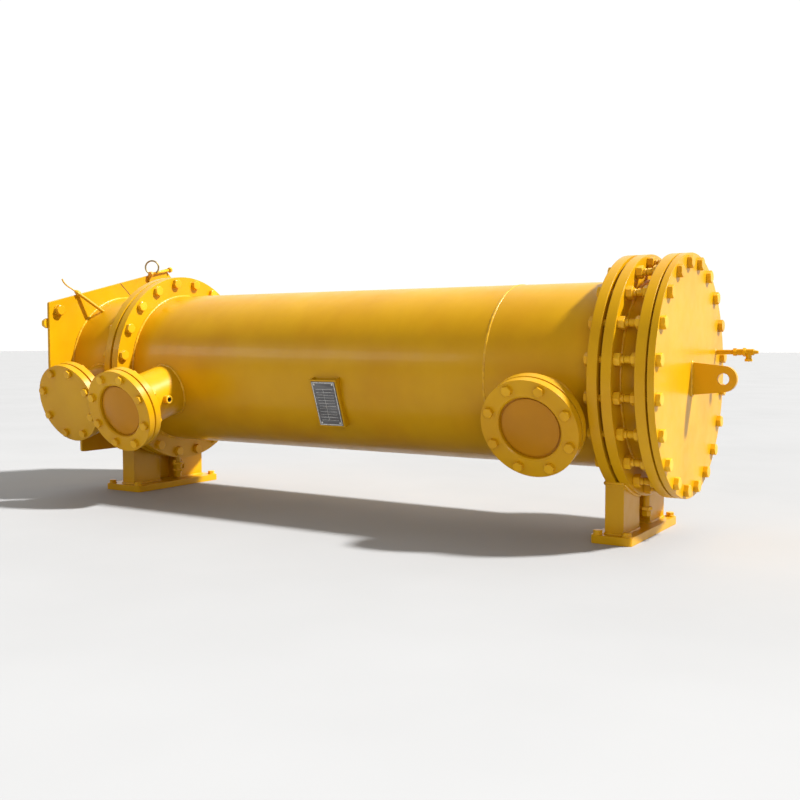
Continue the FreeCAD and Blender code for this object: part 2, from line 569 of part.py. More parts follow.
def drains():
    """A drain with a plugged valve at the left, and a plugged drain pipe at the right."""
    pieces = {}
    left_top = Vector(LEFT_JOINT_X - GIRTH_THICKNESS / 2, 0, AXIS_HEIGHT)
    left_length = GIRTH_R + LEFT_DRAIN_DROP
    pipe = Part.makeCylinder(DRAIN_PIPE_OD / 2, left_length, left_top, DOWN)
    pipe = pipe.cut(Part.makeCylinder(DRAIN_PIPE_BORE / 2, left_length, left_top, DOWN))
    pieces["left_drain_pipe"] = pipe.cut(cylinder_x(END_PLATE_X, SHELL_START_X, GIRTH_R))
    valve_top = left_top + DOWN * left_length
    valve = hexagon_prism(valve_top, DOWN, DRAIN_VALVE_ACROSS, DRAIN_VALVE_LENGTH)
    plug_top = valve_top + DOWN * DRAIN_VALVE_LENGTH
    plug = hexagon_prism(plug_top, DOWN, DRAIN_PLUG_ACROSS, DRAIN_PLUG_LENGTH)
    pieces["left_drain_valve"] = valve.fuse(plug)
    right_top = Vector(RIGHT_CHANNEL_START_X + GIRTH_THICKNESS / 2, 0, AXIS_HEIGHT)
    right_length = GIRTH_R + RIGHT_DRAIN_DROP
    pipe = Part.makeCylinder(DRAIN_PIPE_OD / 2, right_length, right_top, DOWN)
    pipe = pipe.cut(cylinder_x(SHELL_END_X, COVER_FACE_X, GIRTH_R))
    plug_top = right_top + DOWN * right_length
    plug = hexagon_prism(plug_top, DOWN, DRAIN_PLUG_ACROSS, DRAIN_PLUG_LENGTH)
    pieces["right_drain_pipe"] = pipe.fuse(plug)
    return pieces


# ----------------------------------------------------------------------- export

def all_pieces():
    pieces = shell_and_channels()
    pieces.update(open_nozzle("inlet", INLET_X, INLET_CLOCK, INLET_REACH))
    pieces.update(open_nozzle("outlet", OUTLET_X, OUTLET_CLOCK, OUTLET_REACH))
    pieces.update(blind_nozzle("channel_nozzle", CHANNEL_NOZZLE_X, CHANNEL_NOZZLE_CLOCK,
                               CHANNEL_NOZZLE_REACH))
    pieces["threaded_socket"] = threaded_socket()
    pieces["end_plate"] = end_plate()
    pieces["end_plate_tab"] = end_plate_tab()
    pieces["wire_ring"] = wire_ring()
    pieces["air_tube"] = air_tube()
    pieces["cover_lug"] = cover_lug()
    pieces.update(vent_pieces())
    pieces.update(nameplate_pieces())
    pieces.update(supports())
    pieces.update(drains())
    return pieces


os.makedirs("parts", exist_ok=True)
for node, shape in all_pieces().items():
    shape.exportStep("parts/" + node + ".step")
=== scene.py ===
import json
import math
from collections import namedtuple

import bpy
from mathutils import Matrix, Vector


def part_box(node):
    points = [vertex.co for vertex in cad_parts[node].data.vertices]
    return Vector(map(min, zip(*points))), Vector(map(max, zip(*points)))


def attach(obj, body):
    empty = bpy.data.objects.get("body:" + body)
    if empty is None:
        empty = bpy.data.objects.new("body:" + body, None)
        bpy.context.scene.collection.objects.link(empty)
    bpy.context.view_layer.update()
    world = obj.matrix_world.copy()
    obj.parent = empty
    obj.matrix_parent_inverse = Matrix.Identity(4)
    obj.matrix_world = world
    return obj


# Looks of a yellow shell and tube heat exchanger: paint and small hardware on
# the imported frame. Metres, +X along the shell to the flat cover, -Y the side of
# the nozzles, +Z up.

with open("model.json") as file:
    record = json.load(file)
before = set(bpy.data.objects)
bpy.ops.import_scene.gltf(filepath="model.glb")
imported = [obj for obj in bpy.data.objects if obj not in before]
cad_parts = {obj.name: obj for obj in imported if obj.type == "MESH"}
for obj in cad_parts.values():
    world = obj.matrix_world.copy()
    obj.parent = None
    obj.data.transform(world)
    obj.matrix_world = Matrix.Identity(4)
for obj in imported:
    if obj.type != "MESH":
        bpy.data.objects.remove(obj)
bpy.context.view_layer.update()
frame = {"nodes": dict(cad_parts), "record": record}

RIGHT = Vector((1, 0, 0))
BACK = Vector((0, 1, 0))
UP = Vector((0, 0, 1))

# ------------------------------------------------------------------- bolts, threads

Bolt = namedtuple("Bolt", "across diameter head_height nut_height tip")

GIRTH_BOLT = Bolt(across=0.030, diameter=0.020, head_height=0.0125, nut_height=0.017, tip=0.008)
COVER_BOLT = GIRTH_BOLT._replace(nut_height=0.014, tip=0.018)
GIRTH_BOLT_CIRCLE_R = 0.300
GIRTH_BOLT_COUNT = 20

NOZZLE_BOLT = Bolt(across=0.024, diameter=0.016, head_height=0.010, nut_height=0.013, tip=0.005)
NOZZLE_BOLT_CIRCLE_R = 0.1125
NOZZLE_BOLT_COUNT = 8
NOZZLE_PIPE_R = 0.08415
NOZZLE_FLANGE_THICKNESS = 0.022

PLATE_BOLT = Bolt(across=0.030, diameter=0.020, head_height=0.014, nut_height=0.016, tip=0.006)
SHOULDER_HEAD_ACROSS = 0.032
SHOULDER_WASHER = 0.040
SHOULDER_BOLT_OFFSET = 0.313
SHOULDER_BOLT_ABOVE_AXIS = 0.202
EDGE_WASHER = 0.036
EDGE_BOLT_FROM_EDGE = 0.004
EDGE_BOLT_ABOVE_AXIS = 0.156

ANCHOR_HEX = 0.021
ANCHOR_HEAD_HEIGHT = 0.009
ANCHOR_WASHER = 0.026
ANCHOR_FROM_END = 0.014
LEFT_ANCHOR_SPACING_X = 0.126
RIGHT_ANCHOR_SPACING_X = 0.078

HEX_STEPS = 36
HEX_CROWN = 0.475
HEX_CONE = math.radians(30)
WASHER_HEIGHT = 0.003
WASHER_EDGE = 0.0006
THREAD_PITCH = 0.0025
THREAD_DEPTH = 0.0009
THREAD_VALLEY, THREAD_PEAK = 0.35, 0.75
THREAD_RUN_OUT = 0.002
TIP_CHAMFER = 0.0012
TIP_CHAMFER_DEPTH = 0.0022

# --------------------------------------------------------------------------- welds

SWEEP_SIDES = 8
BEAD_SHARE = 0.75
RIPPLE, RIPPLE_TURN = 0.08, 2.1
DRIFT, DRIFT_TURN, DRIFT_START = 0.05, 0.37, 1.3
BEAD_STEP = 0.004
RING_BEAD_STEP = 0.0045
GIRTH_WELD_LEG = 0.007
SADDLE_WELD_LEG = 0.0065
NECK_WELD_LEG = 0.005
NECK_WELD_STEPS = 130
SUPPORT_WELD_LEG = 0.006
SEAT_WELD_STEPS = 32
LUG_WELD_LEG = 0.006
VENT_WELD_LEG = 0.003
VENT_WELD_STEPS = 24

SEAM_FROM_SHELL_END = 0.343
SEAM_WIDTH_R = 0.006
SEAM_PROUD = 0.0018

# ------------------------------------------------------------------ small fittings

# A thin dark strip on the end plate's face, running down from its top edge.
PLATE_DARK_LINE_TOP = (-0.031, 0.309)
PLATE_DARK_LINE_BOTTOM = (0.017, 0.267)
PLATE_DARK_LINE_WIDTH = 0.0026
PLATE_DARK_LINE_HEIGHT = 0.0005

AIR_TUBE_R = 0.006
BOX_FIT_ROUNDS = 4
AIR_COLLAR_HEX = 0.017
AIR_COLLAR_LENGTH = 0.012
AIR_COLLAR_BACK = 0.016
AIR_CONE_BACK = 0.004
AIR_CONE = ((0.0075, 0), (0.0075, 0.003), (0.0050, 0.007), (0.0030, 0.009))
AIR_TAIL_R = 0.0027
AIR_TAIL_KNOTS = ((0, 0), (0.018, -0.001), (0.036, -0.002), (0.050, 0.002), (0.057, 0.010))
AIR_TAIL_STEPS = 8

TAB_PIN_D = 0.010
TAB_PIN_FROM_FACE = 0.005
TAB_PIN_NUT_HEX = 0.019
TAB_PIN_NUT_HEIGHT = 0.010
TAB_PIN_TIP = 0.006
TAB_PIN_START = (0.008, 0.026)
TAB_PIN_END = (0.002, 0.006)

VENT_FIRST_HEX = 0.020
VENT_FIRST_LENGTH = 0.010
VENT_FIRST_BACK = 0.002
VENT_SECOND_HEX = 0.021
VENT_SECOND_LENGTH = 0.009
VENT_SECOND_AT = 0.024
BLEED_SCREW = ((0.0095, 0), (0.0105, 0.002), (0.0105, 0.006), (0.0095, 0.008))
BLEED_SCREW_AT = 0.040
BLEED_SCREW_SINK = 0.008

SOCKET_STEPS = 32
SOCKET_THREAD_ROOT_R = 0.0079
SOCKET_THREAD_CREST_R = 0.0070
SOCKET_THREAD_PITCH = 0.0018
SOCKET_THREAD_TURNS = 7
SOCKET_RIM = ((0.0137, -0.003), (0.0137, -0.0005), (0.0120, 0.0012), (0.0090, 0.0012), (0.0082, -0.0005))

PLATE_HALF_HEIGHT = 0.070
PLATE_HALF_THICKNESS = 0.001
BORDER_FROM_EDGE = 0.003
BORDER_WIDTH = 0.0022
BORDER_HEIGHT = 0.0010
RIVET = ((0.0034, 0), (0.0033, 0.0008), (0.0024, 0.0016), (0.0010, 0.0020))
RIVET_STEPS = 16
RIVET_FROM_EDGE = 0.009
RULE_WIDTH = 0.0008
RULE_HEIGHT = 0.0004
RULE_COUNT = 12
RULE_FIRST, RULE_LAST = 0.046, -0.052
RULE_LENGTH = 0.060
RULE_COLUMN_LEFT = 0.004
BAR_BEVEL_SHARE = 0.4

VALVE_CAP = ((0.020, 0), (0.021, 0.001), (0.021, 0.006), (0.020, 0.007))
VALVE_CAP_DROP = 0.001
VALVE_EAR_HEX = 0.010
VALVE_EAR_LENGTH = 0.018
VALVE_EAR_OFFSET = 0.017
VALVE_EAR_DROP = 0.010
VALVE_NUT_HEX = 0.036
VALVE_NUT_HEIGHT = 0.008
VALVE_NUT_DROP = 0.024
LEVER_D = 0.012
LEVER_LENGTH = 0.016
LEVER_SINK = 0.006
LEVER_DROP = 0.018
LEVER_NUT_HEX = 0.018
LEVER_NUT_HEIGHT = 0.008
LEVER_NUT_AT = 0.014
VALVE_SPOUT_D = 0.008
VALVE_SPOUT_LENGTH = 0.012
VALVE_SPOUT_SINK = 0.004
VALVE_SPOUT_DROP = 0.030
DRAIN_NUT_HEX = 0.030
DRAIN_NUT_HEIGHT = 0.010
DRAIN_NUT_RISE = 0.026

# ---------------------------------------------------------------- paint, light, view

DEEP = (0.590, 0.283, 0.002)
MAIN = (0.630, 0.322, 0.002)
LIGHT = (0.665, 0.350, 0.003)
# Bolts and small fittings: a lighter copy of the same enamel, a painted highlight for how they catch the
# light.
BOLT_PAINTED_LIGHT_TONES = ((0.60, 0.28, 0.004), (0.74, 0.39, 0.008), (0.82, 0.46, 0.020))
# Blanking discs: a darker, more orange copy of the same enamel, painted shade on the recessed domed
# discs.
DISC_PAINTED_SHADE_TONES = ((0.46, 0.185, 0.002), (0.50, 0.205, 0.002), (0.54, 0.230, 0.003))
BEAD_LIGHT = (0.80, 0.44, 0.01)
NOISE_LOW, NOISE_HIGH = 0.3, 0.7
WEAR = 0.15

FLOOR_HALF_SIZE = 60.0
WORLD_BRIGHT_SIDE = (-0.35, 0.90, 0.10)
WORLD_COLOUR = (1.0, 0.99, 0.97, 1)
WORLD_FRONT = 0.28
WORLD_BACK = 1.05
WORLD_TURN_START, WORLD_TURN_END = -0.10, 0.75

KEY_TOWARDS = (0.605, 0.302, 0.736)
KEY_STRENGTH = 6.8
KEY_SOFTNESS = math.radians(5.0)

CAMERA_PLACE = (2.657, -2.618, 0.5145)
CAMERA_TURN = math.radians(31.95)
CAMERA_PITCH = math.radians(3.23)
CAMERA_SENSOR = 36.0
CAMERA_LENS = 44.62

# ---------------------------------------------------------- places from the frame


def face(node, side):
    """The lowest (0) or highest (1) X of a node."""
    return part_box(node)[side].x


def middle(node):
    low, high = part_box(node)
    return (low + high) / 2


def half_height(node):
    low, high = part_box(node)
    return (high.z - low.z) / 2


AXIS_Z = middle("shell").z
SHELL_R = half_height("shell")
FLANGE_R = half_height("cover_plate")

NOZZLES = {"inlet_bolts": ("inlet_counter_flange", "inlet_flange"),
           "outlet_bolts": ("outlet_counter_flange", "outlet_flange"),
           "channel_nozzle_bolts": ("channel_nozzle_blind_flange", "channel_nozzle_flange")}


def on_axis(x):
    return Vector((x, 0, AXIS_Z))


def nozzle_frame(node):
    """The middle of a piece on the shell's side, its outward and its sideways direction."""
    centre = middle(node)
    out = (centre - on_axis(centre.x)).normalized()
    return centre, out, out.cross(RIGHT)


# ------------------------------------------------------------------ mesh building

class Pieces:
    """Vertices and faces that are gathered into one joined mesh."""

    def __init__(self):
        self.vertices = []
        self.faces = []
        self.smooth = []

    def add(self, part, matrix):
        vertices, faces, smooth = part
        first = len(self.vertices)
        self.vertices.extend(matrix @ Vector(v) for v in vertices)
        self.faces.extend([first + i for i in f] for f in faces)
        self.smooth.extend(smooth)

    def make(self, name, material):
        mesh = bpy.data.meshes.new(name)
        mesh.from_pydata([tuple(v) for v in self.vertices], [], self.faces)
        mesh.polygons.foreach_set("use_smooth", self.smooth)
        mesh.materials.append(material)
        mesh.update()
        made = bpy.data.objects.new(name, mesh)
        bpy.context.scene.collection.objects.link(made)
        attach(made, "root")


def along(origin, direction, spin=0.0):
    """Matrix that stands a part built on +Z at origin, pointing in direction."""
    turn = Vector(direction).to_track_quat("Z", "Y").to_matrix().to_4x4()
    return Matrix.Translation(origin) @ turn @ Matrix.Rotation(spin, 4, "Z")


def axes_at(origin, x_axis, y_axis, z_axis):
    """Matrix that lays a part at origin, with its own axes along the three given."""
    matrix = Matrix((x_axis, y_axis, z_axis)).transposed().to_4x4()
    return Matrix.Translation(origin) @ matrix


def skin(rings, close_start=True, close_end=True, smooth=True):
    """Faces between rings of equal length, with flat ends."""
    count = len(rings[0])
    vertices = [v for ring in rings for v in ring]
    faces = []
    for row in range(len(rings) - 1):
        low = row * count
        for i in range(count):
            j = (i + 1) % count
            faces.append([low + i, low + j, low + count + j, low + count + i])
    smooths = [smooth] * len(faces)
    if close_start:
        faces.append(list(range(count))[::-1])
        smooths.append(False)
    if close_end:
        last = (len(rings) - 1) * count
        faces.append(list(range(last, last + count)))
        smooths.append(False)
    return vertices, faces, smooths


def turns(count, shift=0.0):
    """Angles of a full turn in even steps."""
    return [2 * math.pi * (step + shift) / count for step in range(count)]


def flat_ring(radius, height, steps):
    return [(radius * math.cos(a), radius * math.sin(a), height) for a in turns(steps)]


def lathe(profile, steps=24, smooth=True, close_start=True, close_end=True):
    """A turned part from (radius, height) points, from the bottom up."""
    rings = [flat_ring(radius, height, steps) for radius, height in profile]
    return skin(rings, close_start, close_end, smooth)


def hexagon(across, height, both_ends=False):
    """A bolt head or nut with its corners turned down by a cone."""
    inner = HEX_CROWN * across
    bottom, top = [], []
    for angle in turns(HEX_STEPS):
        to_flat = (angle + math.pi / 6) % (math.pi / 3) - math.pi / 6
        radius = across / 2 / math.cos(to_flat)
        drop = (radius - inner) * math.tan(HEX_CONE)
        point = (radius * math.cos(angle), radius * math.sin(angle))
        bottom.append((*point, drop if both_ends else 0))
        top.append((*point, height - drop))
    seat = [flat_ring(inner, 0, HEX_STEPS)] if both_ends else []
    return skin(seat + [bottom, top, flat_ring(inner, height, HEX_STEPS)], smooth=False)


def thread(diameter, length):
    """A threaded bolt end: ridges along it and a chamfered tip."""
    outer = diameter / 2
    root = outer - THREAD_DEPTH
    profile = [(outer, 0)]
    for turn in range(int((length - THREAD_RUN_OUT) / THREAD_PITCH)):
        profile.append((root, (turn + THREAD_VALLEY) * THREAD_PITCH))
        profile.append((outer, (turn + THREAD_PEAK) * THREAD_PITCH))
    profile.append((root, length - TIP_CHAMFER))
    profile.append((outer - TIP_CHAMFER_DEPTH, length))
    return lathe(profile, smooth=False)


def washer(diameter):
    radius = diameter / 2
    profile = [(radius, 0), (radius, WASHER_HEIGHT - WASHER_EDGE), (radius - WASHER_EDGE, WASHER_HEIGHT)]
    return lathe(profile, smooth=False)


def rod(diameter, length):
    return lathe([(diameter / 2, 0), (diameter / 2, length)])


def bar(length, width, height):
    """A thin raised strip from the origin along +X, with bevelled top edges."""
    bevel = height * BAR_BEVEL_SHARE
    half = width / 2
    section = [(-half, 0), (-half, height - bevel), (-half + bevel, height),
               (half - bevel, height), (half, height - bevel), (half, 0)]
    rings = [[(x, y, z) for y, z in section] for x in (0, length)]
    return skin(rings, smooth=False)


def sweep(points, normals, radii, closed):
    """A round-sectioned skin along a path; normals hold the section upright."""
    count = len(points)
    rings = []
    for i, point in enumerate(points):
        before = points[(i - 1) % count] if closed or i else point
        after = points[(i + 1) % count] if closed or i < count - 1 else point
        forward = (after - before).normalized()
        side = forward.cross(normals[i]).normalized()
        up = side.cross(forward)
        offsets = [side * math.cos(a) + up * math.sin(a) for a in turns(SWEEP_SIDES)]
        rings.append([tuple(point + offset * radii[i]) for offset in offsets])
    if closed:
        rings.append(rings[0])
    return skin(rings, close_start=not closed, close_end=not closed)


def add_bead(pieces, points, leg, normals, closed=True):
    """A weld bead: fine even ripples, with a slower change in width."""
    radii = []
    for i in range(len(points)):
        ripple = RIPPLE * math.sin(i * RIPPLE_TURN)
        drift = DRIFT * math.sin(i * DRIFT_TURN + DRIFT_START)
        radii.append(leg * BEAD_SHARE * (1 + ripple + drift))
    pieces.add(sweep(points, normals, radii, closed), Matrix.Identity(4))


def circle_points(centre, radius, first, second, count):
    """A circle in the plane of two directions, and its outward directions."""
    normals = [first * math.cos(a) + second * math.sin(a) for a in turns(count)]
    return [centre + out * radius for out in normals], normals


def steps_round(radius, step):
    return int(2 * math.pi * radius / step)


def saddle_points(centre, out, across, radius):
    """The line where a nozzle's neck meets the shell."""
    points = []
    for angle in turns(steps_round(radius, BEAD_STEP)):
        sideways = radius * math.sin(angle)
        rise = math.sqrt(SHELL_R ** 2 - sideways ** 2)
        offset = RIGHT * radius * math.cos(angle) + across * sideways
        points.append(on_axis(centre.x) + out * rise + offset)
    return points


def line_points(start, end):
    count = max(2, int((end - start).length / BEAD_STEP))
    return [start.lerp(end, i / (count - 1)) for i in range(count)]


def loop_points(corners):
    """Points round a closed outline of straight sides."""
    points = []
    for i, corner in enumerate(corners):
        points.extend(line_points(corner, corners[(i + 1) % len(corners)])[:-1])
    return points


def smooth_path(knots, steps):
    """Points along a smooth curve through the knots."""
    ends = [2 * knots[0] - knots[1]] + knots + [2 * knots[-1] - knots[-2]]
    path = []
    for i in range(1, len(ends) - 2):
        a, b, c, d = ends[i - 1:i + 3]
        for step in range(steps):
            t = step / steps
            path.append(0.5 * (2 * b + (c - a) * t + (2 * a - 5 * b + 4 * c - d) * t ** 2
                               + (3 * b - a - 3 * c + d) * t ** 3))
    return path + [knots[-1]]


# ---------------------------------------------------------------------- materials

class Nodes:
    """A material's node tree, with short calls for the nodes used here."""

    def __init__(self, name):
        self.material = bpy.data.materials.new(name)
        self.material.use_nodes = True
        self.tree = self.material.node_tree
        self.shader = self.tree.nodes["Principled BSDF"]

    def link(self, source, target):
        self.tree.links.new(source, target)

    def noise(self, scale, detail=3.0, stretch=(1, 1, 1)):
        """Noise in object space, whose features measure about 1/scale metres."""
        place = self.tree.nodes.new("ShaderNodeTexCoord")
        mapping = self.tree.nodes.new("ShaderNodeMapping")
        mapping.inputs["Scale"].default_value = stretch
        noise = self.tree.nodes.new("ShaderNodeTexNoise")
        noise.inputs["Scale"].default_value = scale
        noise.inputs["Detail"].default_value = detail
        self.link(place.outputs["Object"], mapping.inputs["Vector"])
        self.link(mapping.outputs["Vector"], noise.inputs["Vector"])
        return noise.outputs["Fac"]

    def ramp(self, source, *stops):
        """Colours or greys along a 0 to 1 value, as (position, colour) stops."""
        ramp = self.tree.nodes.new("ShaderNodeValToRGB")
        elements = ramp.color_ramp.elements
        while len(elements) < len(stops):
            elements.new(0.5)
        for element, (position, colour) in zip(elements, stops):
            element.position = position
            element.color = (*colour, 1)
        self.link(source, ramp.inputs["Fac"])
        return ramp.outputs["Color"]

    def between(self, source, first, second):
        """From one colour to another over the values that noise mostly has."""
        return self.ramp(source, (NOISE_LOW, first), (NOISE_HIGH, second))

    def shade(self, colour, shadow, amount):
        """A colour multiplied by a grey, in part."""
        mixer = self.tree.nodes.new("ShaderNodeMix")
        mixer.data_type = "RGBA"
        mixer.blend_type = "MULTIPLY"
        mixer.inputs["Factor"].default_value = amount
        self.link(colour, mixer.inputs["A"])
        self.link(shadow, mixer.inputs["B"])
        return mixer.outputs["Result"]

    def bump(self, height, strength, distance, normal=None):
        """Relief from a 0 to 1 height; distance is its depth in metres."""
        bump = self.tree.nodes.new("ShaderNodeBump")
        bump.inputs["Strength"].default_value = strength
        bump.inputs["Distance"].default_value = distance
        self.link(height, bump.inputs["Height"])
        if normal is not None:
            self.link(normal, bump.inputs["Normal"])
        return bump.outputs["Normal"]

    def soft_edges(self, radius):
        """Normals that round sharp edges off, as thick paint does."""
        bevel = self.tree.nodes.new("ShaderNodeBevel")
        bevel.samples = 6
        bevel.inputs["Radius"].default_value = radius
        return bevel.outputs["Normal"]

    def finish(self, colour, roughness, normal, **sockets):
        """Links the three into the shader, and sets its other sockets by name."""
        self.link(colour, self.shader.inputs["Base Color"])
        self.link(roughness, self.shader.inputs["Roughness"])
        self.link(normal, self.shader.inputs["Normal"])
        for socket, value in sockets.items():
            self.shader.inputs[socket.replace("_", " ")].default_value = value
        return self.material


def grey(value):
    return (value, value, value)


def yellow_paint(name, shades, edge_radius):
    """Thick golden enamel: faint cloudy shade, dust specks and orange peel."""
    n = Nodes(name)
    deep, main, light = shades
    clouds = n.ramp(n.noise(5.0, detail=4.0), (0.30, deep), (0.50, main), (0.72, light))
    runs = n.noise(16.0, detail=5.0, stretch=(1, 1, 0.22))
    streaks = n.ramp(runs, (0.35, grey(0.90)), (0.62, grey(1.0)))
    specks = n.ramp(n.noise(420.0, detail=2.0), (0.27, grey(0.72)), (0.33, grey(1.0)))
    colour = n.shade(n.shade(clouds, streaks, amount=0.30), specks, amount=0.30)
    roughness = n.between(n.noise(26.0, detail=4.0), grey(0.28), grey(0.38))
    peel = n.bump(n.noise(260.0, detail=2.0), strength=0.08, distance=0.0006,
                  normal=n.soft_edges(edge_radius))
    return n.finish(colour, roughness, peel,
                    Specular_IOR_Level=0.20, Coat_Weight=0.08, Coat_Roughness=0.08)


def weld_paint(name, shades):
    """The same enamel over a weld bead, with the bead's small steps as relief."""
    n = Nodes(name)
    deep, main, light = shades
    colour = n.ramp(n.noise(60.0, detail=4.0), (NOISE_LOW, deep), (0.5, main), (NOISE_HIGH, light))
    roughness = n.between(n.noise(90.0), grey(0.30), grey(0.45))
    steps = n.bump(n.noise(340.0), strength=0.35, distance=0.0012)
    return n.finish(colour, roughness, steps,
                    Specular_IOR_Level=0.35, Coat_Weight=0.15, Coat_Roughness=0.15)


def gasket_material():
    n = Nodes("gasket_sheet")
    colour = n.between(n.noise(180.0, detail=4.0), (0.018, 0.014, 0.010), (0.055, 0.045, 0.032))
    roughness = n.between(n.noise(90.0), grey(0.72), grey(0.92))
    grain = n.bump(n.noise(700.0), strength=0.4, distance=0.0004)
    return n.finish(colour, roughness, grain)


def dark_steel_material():
    n = Nodes("dark_steel")
    colour = n.between(n.noise(30.0, detail=4.0), (0.030, 0.018, 0.006), (0.075, 0.045, 0.012))
    roughness = n.between(n.noise(70.0), grey(0.50), grey(0.72))
    grain = n.bump(n.noise(300.0), strength=0.3, distance=0.0005)
    return n.finish(colour, roughness, grain, Metallic=0.4)


def plate_metal(name, dark, light, rough):
    """Brushed sheet: fine lines along X, with light wear."""
    n = Nodes(name)
    brushed = n.noise(180.0, stretch=(0.06, 1, 1))
    colour = n.between(brushed, dark, light)
    roughness = n.between(n.noise(40.0), grey(rough), grey(rough + WEAR))
    lines = n.bump(brushed, strength=0.15, distance=0.0003, normal=n.soft_edges(0.0006))
    return n.finish(colour, roughness, lines, Metallic=0.9)


def floor_material():
    n = Nodes("pale_floor")
    colour = n.between(n.noise(1.5), grey(0.36), grey(0.38))
    roughness = n.between(n.noise(4.0), grey(0.80), grey(0.90))
    grain = n.bump(n.noise(60.0), strength=0.05, distance=0.001)
    return n.finish(colour, roughness, grain)


paint = yellow_paint("yellow_enamel", (DEEP, MAIN, LIGHT), edge_radius=0.0028)
# Lighter copy of the enamel on bolts and small fittings: painted highlight.
bolt_paint_painted_lighter = yellow_paint("yellow_enamel_on_bolts_painted_lighter", BOLT_PAINTED_LIGHT_TONES, edge_radius=0.0012)
bead_paint = weld_paint("yellow_enamel_on_welds", (DEEP, LIGHT, BEAD_LIGHT))
# Darker copy of the enamel on the blanking discs: painted shade.
disc_paint_painted_darker = yellow_paint("yellow_enamel_on_discs_painted_darker", DISC_PAINTED_SHADE_TONES, edge_radius=0.0020)
gasket = gasket_material()
dark_steel = dark_steel_material()
plate_grey = plate_metal("nameplate_sheet", (0.10, 0.10, 0.105), (0.22, 0.22, 0.225), 0.35)
rim_metal = plate_metal("bright_rim", (0.62, 0.61, 0.57), (0.85, 0.84, 0.80), 0.22)
wire_metal = plate_metal("ring_wire", (0.26, 0.17, 0.05), (0.46, 0.34, 0.14), 0.32)

MATERIALS = {"yellow_paint": paint, "gasket": gasket, "dark_steel": dark_steel,
             "nameplate": plate_grey, "wire": wire_metal}


def dress_frame():
    """Gives each CAD node its slot's material, and the blanking discs a darker copy of the enamel, as
    painted shade.
    """
    slots = {row["node"]: row["material_slot"] for row in frame["record"]["subparts"]}
    for node, made in frame["nodes"].items():
        made.data.materials.clear()
        disc = node.endswith("blanking_disc")
        made.data.materials.append(disc_paint_painted_darker if disc else MATERIALS[slots[node]])


# ------------------------------------------------------------------------- bolting

def nut_and_tip(pieces, at, out, bolt, spin):
    """A nut standing on a face, and the bolt's threaded end beyond it."""
    pieces.add(hexagon(bolt.across, bolt.nut_height, both_ends=True), along(at, out, spin))
    pieces.add(thread(bolt.diameter, bolt.tip), along(at + out * bolt.nut_height, out))


def circle_of_bolts(name, head_at, nut_at, plane, circle, bolt, spins):
    """Bolts through a joint, from the middle of the heads' face to that of the nuts'.

    plane holds two directions, circle a radius and a count, and the bolts
    straddle the second direction. spins holds the turn from one head to the
    next, and the turn from a head to its nut.
    """
    pieces = Pieces()
    out = (head_at - nut_at).normalized()
    radius, count = circle
    for index, angle in enumerate(turns(count, 0.5)):
        spin = index * spins[0]
        spot = plane[0] * radius * math.sin(angle) + plane[1] * radius * math.cos(angle)
        pieces.add(hexagon(bolt.across, bolt.head_height), along(head_at + spot, out, spin))
        pieces.add(rod(bolt.diameter, (head_at - nut_at).length), along(nut_at + spot, out))
        nut_and_tip(pieces, nut_at + spot, -out, bolt, spin + spins[1])
    pieces.make(name, bolt_paint_painted_lighter)


def girth_bolts(name, head_x, nut_x, bolt, spins):
    circle = (GIRTH_BOLT_CIRCLE_R, GIRTH_BOLT_COUNT)
    circle_of_bolts(name, on_axis(head_x), on_axis(nut_x), (BACK, UP), circle, bolt, spins)


def nozzle_bolts(name, outer_node, inner_node):
    outer, out, across = nozzle_frame(outer_node)
    half = out * NOZZLE_FLANGE_THICKNESS / 2
    circle = (NOZZLE_BOLT_CIRCLE_R, NOZZLE_BOLT_COUNT)
    circle_of_bolts(name, outer + half, middle(inner_node) - half, (RIGHT, across), circle,
                    NOZZLE_BOLT, spins=(1.3, 0.3))


def washer_and_head(pieces, at, out, washer_d, across, height, spin=0.0):
    pieces.add(washer(washer_d), along(at, out))
    pieces.add(hexagon(across, height), along(at + out * WASHER_HEIGHT, out, spin))


def anchor_bolts(name, base_node, spacing_x):
    """Washer and bolt head at each corner of a base plate."""
    pieces = Pieces()
    low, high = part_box(base_node)
    reach_y = (high.y - low.y) / 2 - ANCHOR_FROM_END
    for side_x in (-1, 1):
        for side_y in (-1, 1):
            at = Vector((middle(base_node).x + side_x * spacing_x / 2, side_y * reach_y, high.z))
            washer_and_head(pieces, at, UP, ANCHOR_WASHER, ANCHOR_HEX, ANCHOR_HEAD_HEIGHT,
                            spin=side_x + side_y * 0.4)
    pieces.make(name, bolt_paint_painted_lighter)


# ------------------------------------------------------------------- end plate bits

def end_plate_bolts():
    """Two large bolts through the plate's shoulders, and one behind its near edge."""
    pieces = Pieces()
    low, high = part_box("end_plate")
    for side in (-1, 1):
        place = (side * SHOULDER_BOLT_OFFSET, AXIS_Z + SHOULDER_BOLT_ABOVE_AXIS)
        washer_and_head(pieces, Vector((high.x, *place)), RIGHT, SHOULDER_WASHER,
                        SHOULDER_HEAD_ACROSS, PLATE_BOLT.head_height, spin=0.3)
        nut_and_tip(pieces, Vector((low.x, *place)), -RIGHT, PLATE_BOLT, spin=0.2)
    edge = Vector((low.x, low.y + EDGE_BOLT_FROM_EDGE, AXIS_Z + EDGE_BOLT_ABOVE_AXIS))
    washer_and_head(pieces, edge, -RIGHT, EDGE_WASHER, PLATE_BOLT.across, PLATE_BOLT.head_height)
    pieces.make("end_plate_bolts", bolt_paint_painted_lighter)


def end_plate_dark_line():
    """A short dark line, a thin strip in the gasket's dark material, that runs down from the end plate's
    top edge.
    """
    pieces = Pieces()
    x = face("end_plate", 1)
    top, bottom = (Vector((x, y, AXIS_Z + rise)) for y, rise in (PLATE_DARK_LINE_TOP, PLATE_DARK_LINE_BOTTOM))
    down = (bottom - top).normalized()
    strip = bar((bottom - top).length, PLATE_DARK_LINE_WIDTH, PLATE_DARK_LINE_HEIGHT)
    pieces.add(strip, axes_at(top, down, RIGHT.cross(down), RIGHT))
    pieces.make("end_plate_dark_line", gasket)


